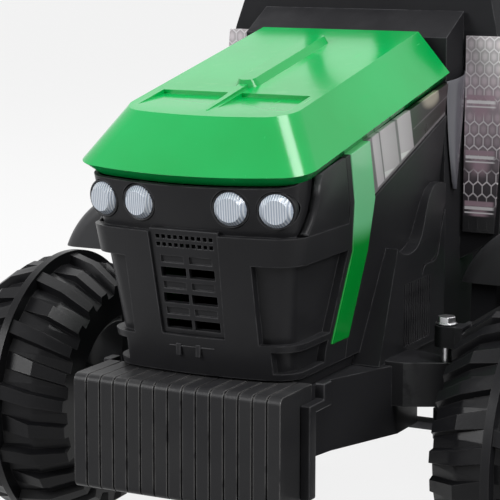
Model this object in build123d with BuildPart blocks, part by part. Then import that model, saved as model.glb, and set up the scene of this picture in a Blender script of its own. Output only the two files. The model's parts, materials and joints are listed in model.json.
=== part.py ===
from build123d import *
from math import cos, radians, sin, sqrt, tan
import os

os.makedirs("parts", exist_ok=True)

# A child's ride-on farm tractor: moulded body panels on a beam chassis, with lugged wheels and linked steering.
# Millimetres, +Z up, standing on z = 0. The tractor faces -Y, so +X is its left side.

# Driving dimensions: layout
wheelbase = 620.0
front_overhang = 228.0
rear_overhang = 242.0
front_track = 504.0
rear_track = 496.0

# Wheels
front_wheel_radius = 140.0
front_tyre_width = 136.0
front_rim_radius = 78.0
rear_wheel_radius = 175.0
rear_tyre_width = 144.0
rear_rim_radius = 104.0
lug_height = 9.0
front_lug_pairs = 13
rear_lug_pairs = 8
lug_slant = 6.5
lug_foot = 0.28
lug_draft = 0.19
tyre_crown = 1.3
tread_share = 0.92
band_share = 0.06
band_rise = 3.5
rim_wall = 6.0
stub_radius = 6.0
rear_axle_radius = 5.0
running_gap = 0.06
seat_gap = 0.2

# Engine body: a tapered shell, wider and further forward at the top
body_bottom_z = 218.0
body_bottom_half_width = 90.0
body_bottom_front = 187.0
body_flare = 0.104
body_lean = 0.2214
body_rear = 118.0
body_wall = 12.0
body_corner_radius = 28.0
body_front_radius = 360.0
relief_depth = 8.0

# Hood: a wedge that rises towards the rear
hood_rise = 11.5
hood_start = 219.0
hood_start_z = 388.0
hood_length = 345.0
hood_height = 50.0
hood_lip_height = 10.0
hood_lip_tuck = 9.0
hood_half_width = 114.0
hood_crest_inset = 30.0
hood_front_slope = 46.0
hood_wall = 12.0
scoop_front = 70.0
scoop_rear = 118.0
scoop_depth = 4.0
scoop_inner_x = 6.0
scoop_outer_x = 74.0
spine_front = 62.0
spine_tip = 1.0
spine_width = 9.0
rib_front = 134.0
rib_rear = 300.0
rib_width = 22.0
rib_height = 7.0
rib_draft = 3.0
hood_gap = 0.3

# Lamps and grille on the nose
lamp_radius = 15.0
lamp_bezel = 2.5
lamp_depth = 12.0
lamp_height_z = 371.0
lamp_offsets = (45.0, 85.0)
lamp_turns = (7.0, 14.0)
grille_top_z = 349.0
grille_bottom_z = 253.0
grille_top_half_width = 34.0
grille_bottom_half_width = 31.0
grille_thickness = 5.0
grille_setback = 4.0

# Front weights: a row of plates on a core
weight_half_width = 103.0
weight_depth = 62.0
weight_bottom_z = 112.0
weight_top_z = 216.0
weight_count = 15
weight_groove = 1.6
weight_groove_depth = 2.5

# Chassis, axle and steering linkage
frame_half_width = 92.0
frame_flare = 30.0
frame_flare_start = 104.0
frame_bottom_z = 140.0
frame_top_z = 206.0
frame_length_behind_axle = 190.0
bracket_depth = 16.0
axle_half_depth = 28.0
axle_bottom_z = 168.0
axle_top_z = 210.0
kingpin_x = 161.0
kingpin_radius = 5.0
boss_radius = 11.0
boss_height = 20.0
boss_lift = 14.0
lower_boss_height = 28.0
web_gap = 2.0
web_thickness = 7.0
web_half_depth = 12.0
arm_length = 58.0
arm_thickness = 9.0
rod_gap = 0.3
pin_tail = 2.0
rod_thickness = 8.0
rod_half_depth = 9.0
pin_radius = 4.0
slot_side_gap = 1.2
knuckle_angle = 20.0
wheel_to_knuckle_ratio = 2.0

# Wheel arch fairings: domed covers behind the front wheels
arch_front = 100.0
arch_rear = 206.0
arch_inner_x = 132.0
arch_outer_x = 322.0
arch_crest_x = 224.0
arch_low_z = 265.0
arch_crest_z = 331.0
arch_wall = 4.0
arch_dome = 16.0

# Cowl, dash and steering column
cowl_front = 120.5
cowl_neck_depth = 45.0
bulkhead_depth = 50.0
cowl_bottom_z = 206.0
cowl_flare_z = 300.0
cowl_top_z = 548.0
cowl_neck_half_width = 109.0
cowl_half_width = 158.0
cowl_wall = 5.0
cowl_corner_radius = 16.0
cowl_shoulder_z = 450.0
cowl_top_half_width = 132.0
dash_drop = 44.0
dash_setback = 24.0
dash_overhang = 8.0
shield_thickness = 3.0
shield_margin = 4.0
column_angle = 26.0
column_top_z = 566.0
shaft_radius = 6.0
shaft_gap = 0.6
crank_lift = 17.0
crank_thickness = 5.0
crank_pocket = 32.0
wheel_rim_radius = 92.0
wheel_rim_section = 9.0

# Footboard, rear body, seat and fenders
floor_z = 150.0
floor_thickness = 10.0
floor_half_width = 296.0
floor_front = 200.0
floor_corner_radius = 22.0
floor_ribs = 7
floor_rib_height = 2.0
rear_body_front = 212.0
rear_body_rear = 128.0
fender_side_gap = 7.0
fender_side_wall = 5.0
rear_body_bottom_z = 205.0
rear_body_top_z = 318.0
rear_body_wall = 5.0
seat_side_margin = 14.0
seat_thickness = 26.0
seat_back_height = 250.0
seat_back_lean = 70.0
seat_back_thickness = 32.0
seat_back_inset = 88.0
seat_corner_radius = 46.0
seat_edge_radius = 12.0
seat_flutes = 5
fender_radius = 200.0
fender_wall = 6.0
fender_outer_x = 316.0
fender_lip = 16.0
fender_shoulder = 12.0
battery_size = (150.0, 130.0, 95.0)
gearbox_size = (54.0, 84.0, 62.0)
gearbox_inset = 6.0
motor_radius = 18.0
motor_length = 42.0
hitch_half_width = 26.0
hitch_thickness = 12.0
hitch_hole_radius = 6.0
hitch_hole_inset = 20.0

# Derived places
overall_length = wheelbase + front_overhang + rear_overhang
front_y = -overall_length / 2
front_axle_y = front_y + front_overhang
rear_axle_y = front_axle_y + wheelbase
wheel_x = front_track / 2
rear_wheel_x = rear_track / 2
frame_front_y = front_y + weight_depth + bracket_depth
fender_x = rear_wheel_x - rear_tyre_width / 2 - fender_side_gap - fender_side_wall
rear_body_half_width = fender_x - seat_gap
seat_half_width = rear_body_half_width - seat_side_margin
gearbox_outer_x = rear_body_half_width - gearbox_inset

# Steering: heights of the arm and rod, and the column's foot placed so that its crank pin meets the rod
lower_boss_top_z = axle_bottom_z - 4.0
lower_boss_z = lower_boss_top_z - lower_boss_height
arm_low_z = lower_boss_z
rod_top_z = arm_low_z - rod_gap
rod_mid_z = rod_top_z - rod_thickness / 2
rod_y = front_axle_y + arm_length
crank_angle = wheel_to_knuckle_ratio * knuckle_angle
crank_length = arm_length * sin(radians(knuckle_angle)) / sin(radians(crank_angle))
column_lean = sin(radians(column_angle))
column_rise = cos(radians(column_angle))
column_foot_z = frame_bottom_z
crank_end_z = column_foot_z + crank_lift * column_rise - crank_length * column_lean
crank_reach_y = (
    crank_length * column_rise + crank_lift * column_lean - (crank_end_z - rod_mid_z) * column_lean / column_rise
)
column_foot_y = rod_y - crank_reach_y
column_plane = Plane(
    origin=(0, column_foot_y, column_foot_z), x_dir=(1, 0, 0), z_dir=(0, column_lean, column_rise)
)
column_length = (column_top_z - column_foot_z) / column_rise
hood_plane = Plane(
    origin=(0, front_axle_y - hood_start, hood_start_z),
    x_dir=(1, 0, 0),
    z_dir=(0, -sin(radians(hood_rise)), cos(radians(hood_rise))),
)
far = 400.0


def body_half_width(z):
    """Half width of the engine body at height z."""
    return body_bottom_half_width + body_flare * (z - body_bottom_z)


def body_front(z):
    """Y of the middle of the engine body's front at height z."""
    return front_axle_y - body_bottom_front - body_lean * (z - body_bottom_z)


def hood_underside(y):
    """Height of the plane under the hood at y."""
    return hood_start_z + tan(radians(hood_rise)) * (y - (front_axle_y - hood_start))


def plan_outline(half_width, front, rear, corner_radius):
    """Plan of a body section: a bowed front with rounded corners, straight sides and a flat rear."""
    sag = half_width**2 / (2 * body_front_radius)
    with BuildSketch(Plane.XY) as outline:
        with BuildLine():
            ThreePointArc((-half_width, front + sag), (0, front), (half_width, front + sag))
            Polyline((half_width, front + sag), (half_width, rear), (-half_width, rear), (-half_width, front + sag))
        make_face()
        fillet(outline.vertices().group_by(Axis.Y)[0], corner_radius)
    return outline.sketch


def engine_form(inset, overrun=0.0):
    """The engine body's tapered form, moved in by inset and run past its ends by overrun."""
    low = body_bottom_z - overrun
    high = hood_underside(front_axle_y + body_rear) + overrun
    with BuildPart() as form:
        for z in (low, high):
            with BuildSketch(Plane.XY.offset(z)):
                add(
                    plan_outline(
                        body_half_width(z) - inset,
                        body_front(z) + inset,
                        front_axle_y + body_rear + overrun,
                        body_corner_radius - inset,
                    )
                )
        loft(ruled=True)
    return form.part


def hood_form(inset, overrun=0.0):
    """The hood's form in its own tilted frame: a tucked lip below a body that leans in on three sides."""
    sections = (
        (-overrun, hood_half_width - hood_lip_tuck, hood_lip_tuck),
        (hood_lip_height, hood_half_width, 0.0),
        (hood_height - inset, hood_half_width - hood_crest_inset, hood_front_slope),
    )
    with BuildPart() as form:
        for lower, upper in zip(sections, sections[1:]):
            for height, half_width, front in (lower, upper):
                with BuildSketch(hood_plane.offset(height)):
                    add(plan_outline(half_width - inset, front + inset, hood_length - inset, body_corner_radius - inset))
            loft(ruled=True)
    return form.part


def mirrored(part):
    """The same piece on the tractor's other side."""
    with BuildPart() as other:
        mirror(part, about=Plane.YZ)
    return other.part


def side_region(points):
    """A slab across the tractor with the given outline in side view."""
    with BuildPart() as region:
        with BuildSketch(Plane.YZ):
            Polygon(*points, align=None)
        extrude(amount=far, both=True)
    return region.part


# Lines in side view where the body panels meet, from the hood down to the foot
stripe_front_line = [(-121.0, 440.0), (-87.0, 366.0), (-80.0, 320.0), (-106.0, 234.0)]
stripe_rear_line = [(-78.0, 440.0), (-41.0, 364.0), (-45.0, 316.0), (-69.0, 234.0)]
stripe_foot_z = 238.0
window_front_z = 360.0
window_rear_z = 425.0


def at_axle(points):
    """Side-view points measured from the front axle, moved to the tractor's frame."""
    return [(front_axle_y + y, z) for y, z in points]


front_line = at_axle(stripe_front_line)
rear_line = at_axle(stripe_rear_line)
body_rear_y = front_axle_y + body_rear
below_z = body_bottom_z - far
engine_wall_outer = engine_form(0.0)
engine_wall_inner = engine_form(body_wall, overrun=10.0)

# Everything below the hood
with BuildPart() as under_hood:
    add(
        side_region(
            [
                (front_axle_y - far, below_z),
                (front_axle_y + far, below_z),
                (front_axle_y + far, hood_underside(front_axle_y + far)),
                (front_axle_y - far, hood_underside(front_axle_y - far)),
            ]
        )
    )

# Engine body shell, before it is split into its panels
with BuildPart() as engine_shell:
    add(engine_wall_outer)
    add(engine_wall_inner, mode=Mode.SUBTRACT)
    add(under_hood.part, mode=Mode.INTERSECT)

# Reliefs round the nose: the lamp band and two panels on each side of the grille
relief_top_z = 347.0
nose_trim = 9.0
upper_relief = (250.0, 322.0, 62.0)
lower_relief = (224.0, 244.0, 72.0)
with BuildPart() as nose_relief:
    with Locations((0, front_axle_y, relief_top_z)):
        Box(2 * far, 2 * far, far, align=(Align.CENTER, Align.CENTER, Align.MIN))
    for low_z, high_z, inner_x in (upper_relief, lower_relief):
        for side in (1, -1):
            with Locations((side * (inner_x + far / 2), front_axle_y, (low_z + high_z) / 2)):
                Box(far, 2 * far, high_z - low_z)
    add(
        side_region(
            [
                (front_axle_y - far, below_z),
                (front_line[-1][0] - nose_trim, below_z),
                *[(y - nose_trim, z) for y, z in reversed(front_line)],
                (front_axle_y - far, front_line[0][1]),
            ]
        ),
        mode=Mode.INTERSECT,
    )
    add(engine_form(relief_depth, overrun=20.0), mode=Mode.SUBTRACT)

# Grille plane, laid against the leaning front of the nose
grille_mid_z = (grille_top_z + grille_bottom_z) / 2
nose_normal = Vector(0, -1, -body_lean).normalized()
grille_plane = Plane(
    origin=(0, body_front(grille_mid_z), grille_mid_z), x_dir=(1, 0, 0), z_dir=nose_normal
).offset(-grille_setback)
grille_half_height = (grille_top_z - grille_bottom_z) / 2 / nose_normal.dot(Vector(0, -1, 0))


def grille_outline(margin):
    """Corner points of the grille opening in its own plane, moved in by margin."""
    top = grille_top_half_width - margin
    bottom = grille_bottom_half_width - margin
    half_height = grille_half_height - margin
    return [(-bottom, -half_height), (bottom, -half_height), (top, half_height), (-top, half_height)]


def lamp_plane(side, index):
    """Plane of one lamp on the lamp band, facing along the band's own direction there."""
    turn = radians(side * lamp_turns[index])
    x = side * lamp_offsets[index]
    sag = x**2 / (2 * body_front_radius)
    origin = (x, body_front(lamp_height_z) + relief_depth + sag, lamp_height_z)
    facing = Vector(sin(turn), -cos(turn), -body_lean / 2).normalized()
    return Plane(origin=origin, x_dir=(cos(turn), sin(turn), 0), z_dir=facing)


lamp_planes = [lamp_plane(side, index) for side in (1, -1) for index in (0, 1)]

# Nose: the black front of the engine body
with BuildPart() as nose:
    add(engine_shell.part)
    add(
        side_region(
            [
                (front_axle_y - far, below_z),
                (front_line[-1][0], below_z),
                (rear_line[-1][0], below_z),
                (rear_line[-1][0] - seat_gap, stripe_foot_z - seat_gap),
                (front_line[-1][0] - seat_gap, stripe_foot_z - seat_gap),
                *[(y - seat_gap, z) for y, z in reversed(front_line[:-1])],
                (front_axle_y - far, front_line[0][1]),
            ]
        ),
        mode=Mode.INTERSECT,
    )
    add(nose_relief.part, mode=Mode.SUBTRACT)
    with BuildSketch(grille_plane):
        Polygon(*grille_outline(0.0), align=None)
    extrude(amount=body_wall * 2, both=True, mode=Mode.SUBTRACT)
    with BuildSketch(*lamp_planes):
        Circle(lamp_radius + lamp_bezel)
    extrude(amount=body_wall * 2, both=True, mode=Mode.SUBTRACT)

# Grille insert: two rows of small windows above ladder bars, framed and open in turn
dot_size = 3.6
dot_pitch = 5.8
dot_columns = 10
dot_band = 22.0
bar_rows = 6
bar_width = 3.0
bar_recess = 2.0
slot_span = 2 * grille_half_height - dot_band - bar_width
slot_pitch = slot_span / bar_rows
slot_width = grille_bottom_half_width - 2 * bar_width
slot_centre = -grille_half_height + bar_width + slot_span / 2
with BuildPart() as grille:
    with BuildSketch(grille_plane):
        Polygon(*grille_outline(seat_gap), align=None)
        with Locations((0, grille_half_height - dot_band / 2)):
            with GridLocations(dot_pitch, dot_pitch + bar_width / 2, dot_columns, 2):
                Rectangle(dot_size, dot_size, mode=Mode.SUBTRACT)
        with Locations((0, slot_centre - slot_pitch / 2)):
            with GridLocations(slot_width + bar_width, 2 * slot_pitch, 2, bar_rows // 2):
                Rectangle(slot_width, slot_pitch - bar_width, mode=Mode.SUBTRACT)
    extrude(amount=-grille_thickness)
    with BuildSketch(grille_plane):
        with Locations((0, slot_centre + slot_pitch / 2)):
            with GridLocations(slot_width + bar_width, 2 * slot_pitch, 2, bar_rows // 2):
                Rectangle(slot_width - bar_width, slot_pitch - 2 * bar_width)
    extrude(amount=-bar_recess, mode=Mode.SUBTRACT)

# Headlamps: a bezel ring in each pocket, with a domed lens in it
with BuildPart() as headlamp_bezels:
    with BuildSketch(*lamp_planes):
        Circle(lamp_radius + lamp_bezel - seat_gap)
        Circle(lamp_radius, mode=Mode.SUBTRACT)
    extrude(amount=-lamp_depth)

lens_rise = 5.0
with BuildPart() as headlamp_lenses:
    with BuildSketch(*lamp_planes):
        Circle(lamp_radius - seat_gap)
    extrude(amount=-lamp_depth)
    with BuildSketch(*lamp_planes):
        Circle(lamp_radius - seat_gap)
    extrude(amount=lens_rise, taper=40)

# Green stripes down both sides behind the nose
stripe_proud = 1.0
with BuildPart() as side_stripes:
    add(engine_form(-stripe_proud))
    add(engine_wall_inner, mode=Mode.SUBTRACT)
    add(under_hood.part, mode=Mode.INTERSECT)
    add(side_region([*front_line, *reversed(rear_line)]), mode=Mode.INTERSECT)
    with Locations((0, front_axle_y, stripe_foot_z)):
        Box(2 * far, 2 * far, far, align=(Align.CENTER, Align.CENTER, Align.MAX), mode=Mode.SUBTRACT)

# Side windows: smoked panels between the stripe, the hood and the side panel
window_line = [rear_line[1], (body_rear_y, window_rear_z)]
window_setback = 2.0
window_thickness = 5.0
with BuildPart() as side_windows:
    add(engine_form(window_setback))
    add(engine_form(window_setback + window_thickness, overrun=10.0), mode=Mode.SUBTRACT)
    add(under_hood.part, mode=Mode.INTERSECT)
    add(
        side_region(
            [
                (rear_line[1][0] + seat_gap, rear_line[1][1] + seat_gap),
                (body_rear_y, window_rear_z + seat_gap),
                (body_rear_y, window_rear_z + far),
                (rear_line[0][0] + seat_gap, window_rear_z + far),
                (rear_line[0][0] + seat_gap, rear_line[0][1]),
            ]
        ),
        mode=Mode.INTERSECT,
    )

# Side panels: the black lower sides, stepped out behind a slanted rib to a ribbed vent over the axle
step_x = hood_half_width - 2.0
step_rib = at_axle([(-42.0, 206.5), (-1.0, 311.0)])
step_curve = at_axle([(-1.0, 311.0), (26.0, 302.0), (52.0, 309.0), (70.0, 341.0), (body_rear, 358.0)])
seam_curve = at_axle([(58.0, 279.0), (62.0, 286.0), (92.0, 290.0), (103.0, 310.0), (body_rear + 2.0, 341.0)])
seam_width = 3.0
seam_depth = 3.0
step_foot_z = frame_top_z + 0.5
vent_start = 14.0
vent_width = 68.0
vent_low_z = 214.0
vent_high_z = 274.0
vent_ribs = 12
vent_depth = 4.0
rib_pitch = vent_width / vent_ribs
vent_middle = (front_axle_y + vent_start + vent_width / 2, (vent_low_z + vent_high_z) / 2)
bed_half_width = body_bottom_half_width - body_wall / 2
step_inner_x = bed_half_width + seam_width / 6
with BuildPart() as panel_step:
    with BuildSketch(Plane.YZ.offset(step_inner_x)):
        with BuildLine():
            Line(*step_rib)
            Spline(*step_curve)
            Polyline(step_curve[-1], (body_rear_y, step_foot_z), step_rib[0])
        make_face()
    extrude(amount=step_x - step_inner_x)
    with BuildSketch(Plane.YZ.offset(step_x)):
        with BuildLine():
            Spline(*seam_curve)
            Spline(*[(y + seam_width, z - seam_width) for y, z in seam_curve])
            Line(seam_curve[0], (seam_curve[0][0] + seam_width, seam_curve[0][1] - seam_width))
            Line(seam_curve[-1], (seam_curve[-1][0] + seam_width, seam_curve[-1][1] - seam_width))
        make_face()
    extrude(amount=-seam_depth, mode=Mode.SUBTRACT)
    with BuildSketch(Plane.YZ.offset(step_x)):
        with Locations(vent_middle):
            with GridLocations(rib_pitch, 1.0, vent_ribs, 1):
                Rectangle(rib_pitch / 2, vent_high_z - vent_low_z)
    extrude(amount=-vent_depth, mode=Mode.SUBTRACT)

with BuildPart() as side_panels:
    add(engine_shell.part)
    add(
        side_region(
            [
                (rear_line[-1][0] + seat_gap, below_z),
                (rear_line[-1][0] + seat_gap, rear_line[-1][1]),
                (rear_line[2][0] + seat_gap, rear_line[2][1]),
                (rear_line[1][0] + seat_gap, rear_line[1][1]),
                (body_rear_y, window_rear_z),
                (body_rear_y, below_z),
            ]
        ),
        mode=Mode.INTERSECT,
    )
    add(panel_step.part)
    mirror(panel_step.part, about=Plane.YZ)
    add(engine_wall_inner, mode=Mode.SUBTRACT)
    with Locations((0, front_axle_y, axle_top_z + seat_gap)):
        Box(
            2 * far,
            2 * (axle_half_depth + seat_gap),
            far,
            align=(Align.CENTER, Align.CENTER, Align.MAX),
            mode=Mode.SUBTRACT,
        )

side_panel_solids = side_panels.part.solids().sort_by(Axis.X)

# Hood: a green shell that caps the engine body
hood_top = hood_plane.offset(hood_height)
hood_side = Plane(origin=hood_top.origin, x_dir=hood_top.y_dir, z_dir=hood_top.x_dir)
hood_across = Plane(origin=hood_top.origin, x_dir=hood_top.x_dir, z_dir=hood_top.y_dir)
with BuildPart() as hood:
    add(hood_form(0.0))
    add(hood_form(hood_wall, overrun=10.0), mode=Mode.SUBTRACT)
    # Two shallow scoops that sink towards the rear, one on each side of the middle
    for scoop_start in (scoop_inner_x, -scoop_outer_x):
        with BuildSketch(hood_side.offset(scoop_start)):
            Polygon(
                (scoop_front, 0),
                (scoop_rear, -scoop_depth),
                (scoop_rear, scoop_depth),
                (scoop_front, scoop_depth),
                align=None,
            )
        extrude(amount=scoop_outer_x - scoop_inner_x, mode=Mode.SUBTRACT)
    # A spine that grows from nothing into the long rib along the middle
    for along, width, height in ((spine_front, spine_tip, spine_tip), (rib_front, spine_width, rib_height)):
        with BuildSketch(hood_across.offset(along)):
            Rectangle(width, height)
    loft()
    for height, draft in ((-rib_draft, -rib_draft), (rib_height, rib_draft)):
        with BuildSketch(hood_top.offset(height)):
            with Locations((0, (rib_front + rib_rear) / 2)):
                SlotOverall(rib_rear - rib_front - draft, rib_width - 2 * draft, rotation=90)
    loft()
hood_shell = hood.part.moved(Location((0, 0, hood_gap)))

# Front weights: plates side by side on a core
plate_pitch = 2 * weight_half_width / weight_count
plate_planes = [
    Plane.YZ.offset(-weight_half_width + index * plate_pitch + weight_groove / 2) for index in range(weight_count)
]
weight_rear_y = front_y + weight_depth
weight_edge = 7.0
with BuildPart() as front_weights:
    with BuildSketch(*plate_planes):
        with BuildLine():
            FilletPolyline(
                (weight_rear_y, weight_bottom_z),
                (front_y, weight_bottom_z),
                (front_y, weight_top_z),
                (weight_rear_y, weight_top_z),
                radius=weight_edge,
            )
            Line((weight_rear_y, weight_top_z), (weight_rear_y, weight_bottom_z))
        make_face()
    extrude(amount=plate_pitch - weight_groove)
    core_x = 2 * weight_half_width - weight_groove
    core_y = weight_depth - weight_groove_depth
    core_z = weight_top_z - weight_bottom_z - 2 * weight_groove_depth
    with Locations((0, weight_rear_y - core_y / 2, (weight_top_z + weight_bottom_z) / 2)):
        Box(core_x, core_y, core_z)

# Bracket that carries the weights on the frame's front
with BuildPart() as weight_bracket:
    with BuildSketch(Plane.XY.offset(frame_bottom_z)):
        with Locations((0, weight_rear_y + bracket_depth / 4)):
            Rectangle(2 * frame_half_width + 14.0, bracket_depth / 2)
        with Locations((0, weight_rear_y + bracket_depth * 3 / 4)):
            Rectangle(2 * frame_half_width + 4.0, bracket_depth / 2)
    extrude(amount=frame_top_z - frame_bottom_z)

# Chassis frame: a beam under the engine body with a slot for the axle, and a keel back to the rear body
frame_rear_y = front_axle_y + frame_length_behind_axle
keel_half_width = 96.0
keel_rear_y = rear_axle_y + rear_body_rear - 40.0
frame_plan = [
    (frame_half_width - 8.0, frame_front_y),
    (frame_half_width, front_axle_y - frame_flare_start),
    (frame_half_width + frame_flare, front_axle_y - axle_half_depth + 8.0),
    (frame_half_width + frame_flare, front_axle_y + axle_half_depth),
    (frame_half_width + 6.0, front_axle_y + axle_half_depth + frame_flare),
    (frame_half_width + 6.0, frame_rear_y),
]
with BuildPart() as chassis_frame:
    with BuildSketch(Plane.XY.offset(frame_bottom_z)):
        Polygon(*frame_plan, *[(-x, y) for x, y in reversed(frame_plan)], align=None)
    extrude(amount=frame_top_z - frame_bottom_z)
    keel_length = keel_rear_y - frame_rear_y
    with Locations((0, frame_rear_y + keel_length / 2, frame_bottom_z)):
        Box(2 * keel_half_width, keel_length, floor_z - frame_bottom_z, align=(Align.CENTER, Align.CENTER, Align.MIN))
    with Locations((0, front_axle_y, (axle_bottom_z + axle_top_z) / 2)):
        Box(
            2 * far,
            2 * (axle_half_depth + seat_gap),
            axle_top_z - axle_bottom_z + 2 * seat_gap,
            mode=Mode.SUBTRACT,
        )
    with BuildSketch(column_plane.offset(-far / 2)):
        Circle(shaft_radius + shaft_gap + 4.0)
    extrude(amount=far, mode=Mode.SUBTRACT)
    with BuildSketch(Plane.XY.offset(frame_bottom_z)):
        with Locations((0, column_foot_y + crank_lift * column_lean)):
            Circle(crank_length + 16.0)
    extrude(amount=crank_pocket, mode=Mode.SUBTRACT)

# Pillars that carry the rear body on the keel
with BuildPart() as body_risers:
    for y in (rear_axle_y - rear_body_front + 30.0, keel_rear_y - 30.0):
        with Locations((0, y, floor_z)):
            Box(
                1.4 * keel_half_width,
                40.0,
                rear_body_bottom_z - floor_z,
                align=(Align.CENTER, Align.CENTER, Align.MIN),
            )

# Front axle: a beam through the frame, tapered to a round eye at each kingpin
axle_block_half_width = frame_half_width + frame_flare + 8.0
with BuildPart() as front_axle:
    with BuildSketch(Plane.XY.offset(axle_bottom_z)):
        with Locations((0, front_axle_y)):
            Rectangle(2 * axle_block_half_width, 2 * axle_half_depth)
        for side in (1, -1):
            with BuildSketch(Plane.XY, mode=Mode.PRIVATE) as tip:
                with Locations((side * kingpin_x, front_axle_y)):
                    Circle(boss_radius - 0.5)
                with Locations((side * (axle_block_half_width - 0.5), front_axle_y)):
                    Rectangle(1.0, 2 * axle_half_depth)
                make_hull()
            add(tip.sketch)
    extrude(amount=axle_top_z - axle_bottom_z)
    with Locations((kingpin_x, front_axle_y, 0), (-kingpin_x, front_axle_y, 0)):
        Cylinder(kingpin_radius + running_gap, 2 * far, mode=Mode.SUBTRACT)

# Kingpins: bolts with a nut on top
upper_boss_z = axle_top_z + boss_lift
pin_top_z = upper_boss_z + boss_height
with BuildPart() as kingpins:
    for side in (1, -1):
        with BuildSketch(Plane.XY.offset(lower_boss_z - 8.0)):
            with Locations((side * kingpin_x, front_axle_y)):
                RegularPolygon(2 * kingpin_radius - 1.0, 6)
        extrude(amount=7.6)
        with BuildSketch(Plane.XY.offset(lower_boss_z - 8.0)):
            with Locations((side * kingpin_x, front_axle_y)):
                Circle(kingpin_radius)
        extrude(amount=pin_top_z + 16.0 - lower_boss_z)
        with BuildSketch(Plane.XY.offset(pin_top_z + 0.4)):
            with Locations((side * kingpin_x, front_axle_y)):
                Circle(2 * kingpin_radius)
        extrude(amount=1.6)
        with BuildSketch(Plane.XY.offset(pin_top_z + 2.0)):
            with Locations((side * kingpin_x, front_axle_y)):
                RegularPolygon(2 * kingpin_radius - 1.0, 6)
        extrude(amount=6.0)

# Knuckle: two bosses on the kingpin, a web, the stub for the wheel and a steering arm
web_x = kingpin_x + boss_radius - 0.5 + web_gap
with BuildPart() as knuckle_left:
    for low_z, height in ((upper_boss_z, boss_height), (lower_boss_z, lower_boss_height)):
        with BuildSketch(Plane.XY.offset(low_z)):
            with Locations((kingpin_x, front_axle_y)):
                Circle(boss_radius)
            with Locations(((kingpin_x + web_x + web_thickness) / 2, front_axle_y)):
                Rectangle(web_x + web_thickness - kingpin_x, 2 * boss_radius)
        extrude(amount=height)
    web_low_z = lower_boss_z
    with Locations((web_x + web_thickness / 2, front_axle_y, web_low_z)):
        Box(
            web_thickness,
            2 * web_half_depth,
            upper_boss_z + boss_height - web_low_z,
            align=(Align.CENTER, Align.CENTER, Align.MIN),
        )
    with BuildSketch(Plane.YZ.offset(web_x)):
        with Locations((front_axle_y, front_wheel_radius)):
            Circle(2 * stub_radius)
    extrude(amount=web_thickness)
    with BuildSketch(Plane.YZ.offset(web_x)):
        with Locations((front_axle_y, front_wheel_radius)):
            Circle(stub_radius)
    extrude(amount=wheel_x + front_tyre_width / 2 - 6.0 - web_x)
    with BuildSketch(Plane.XY.offset(arm_low_z)):
        with Locations((kingpin_x, front_axle_y + arm_length / 2)):
            Rectangle(2 * boss_radius, arm_length)
        with Locations((kingpin_x, front_axle_y + arm_length)):
            Circle(boss_radius)
    extrude(amount=arm_thickness)
    with BuildSketch(Plane.XY.offset(rod_top_z - rod_thickness - pin_tail)):
        with Locations((kingpin_x, front_axle_y + arm_length)):
            Circle(pin_radius)
    extrude(amount=arm_low_z - (rod_top_z - rod_thickness - pin_tail))
    with Locations((kingpin_x, front_axle_y, 0)):
        Cylinder(kingpin_radius + running_gap, 4 * far, mode=Mode.SUBTRACT)
with BuildPart() as knuckle_right:
    mirror(knuckle_left.part, about=Plane.YZ)

# Tie rod: a flat bar with a slot at each arm pin and a long slot for the crank
arm_drift = arm_length * (1 - cos(radians(knuckle_angle)))
slot_length = 2 * (pin_radius + slot_side_gap + arm_drift)
crank_drift = crank_length * (1 - cos(radians(crank_angle)))
rod_end_half_depth = slot_length / 2 + 5.0
crank_slot_length = 2 * (crank_drift + pin_radius + 8.0)
with BuildPart() as tie_rod:
    with BuildSketch(Plane.XY.offset(rod_top_z - rod_thickness)):
        with Locations((0, rod_y)):
            Rectangle(2 * kingpin_x, 2 * rod_half_depth)
        with Locations((kingpin_x, rod_y), (-kingpin_x, rod_y)):
            Rectangle(2 * boss_radius, 2 * rod_end_half_depth)
        with Locations((0, rod_y)):
            Rectangle(2 * boss_radius + 8.0, crank_slot_length + 12.0)
        with Locations((kingpin_x, rod_y), (-kingpin_x, rod_y)):
            SlotOverall(slot_length, 2 * (pin_radius + slot_side_gap), rotation=90, mode=Mode.SUBTRACT)
        with Locations((0, rod_y)):
            SlotOverall(crank_slot_length, 2 * (pin_radius + slot_side_gap), rotation=90, mode=Mode.SUBTRACT)
    extrude(amount=rod_thickness)

def tyre(centre_x, axle_y, radius, width, rim_radius, lug_pairs):
    """A lugged tyre: two lofted halves with long and short lugs in turn, on both sides of a proud centre band."""
    half = width / 2
    crown = tyre_crown * half
    band_half = band_share * half
    pitch = 180.0 / lug_pairs

    def lug_outline(share, short_share):
        """Toothed outline at a share of the half width: each lug stands on a flat of its own, so every face is plane."""
        floor = radius - band_rise - lug_height - crown + sqrt(crown**2 - (share * half) ** 2)
        corner = floor * tan(radians(pitch / 2))
        foot = floor * tan(radians(lug_foot * pitch))
        shift = floor * tan(radians((share - 0.5) * lug_slant))
        points = []
        for index in range(2 * lug_pairs):
            rise = lug_height * (short_share if index % 2 else 1.0)
            crest = foot - lug_draft * rise
            turn = radians(index * pitch)
            for out, along in (
                (floor, -corner),
                (floor, shift - foot),
                (floor + rise, shift - crest),
                (floor + rise, shift + crest),
                (floor, shift + foot),
            ):
                points.append((out * cos(turn) - along * sin(turn), out * sin(turn) + along * cos(turn)))
        return points

    with BuildPart() as tread_half:
        for share, short_share in ((band_share, 0.05), (0.5, 0.85), (tread_share, 0.85)):
            with BuildSketch(Plane.YZ.offset(share * half)):
                Polygon(*lug_outline(share, short_share), align=None)
        loft(ruled=True)
    with BuildPart() as whole:
        add(tread_half.part)
        add(mirrored(tread_half.part), rotation=(pitch / 2, 0, 0))
        with BuildSketch(Plane.YZ.offset(-band_half)):
            Circle(radius)
        extrude(amount=2 * band_half)
        with BuildSketch(Plane.YZ.offset(-half)):
            Circle(rim_radius + seat_gap)
        extrude(amount=width, mode=Mode.SUBTRACT)
    return whole.part.moved(Location((centre_x, axle_y, radius)))


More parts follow.
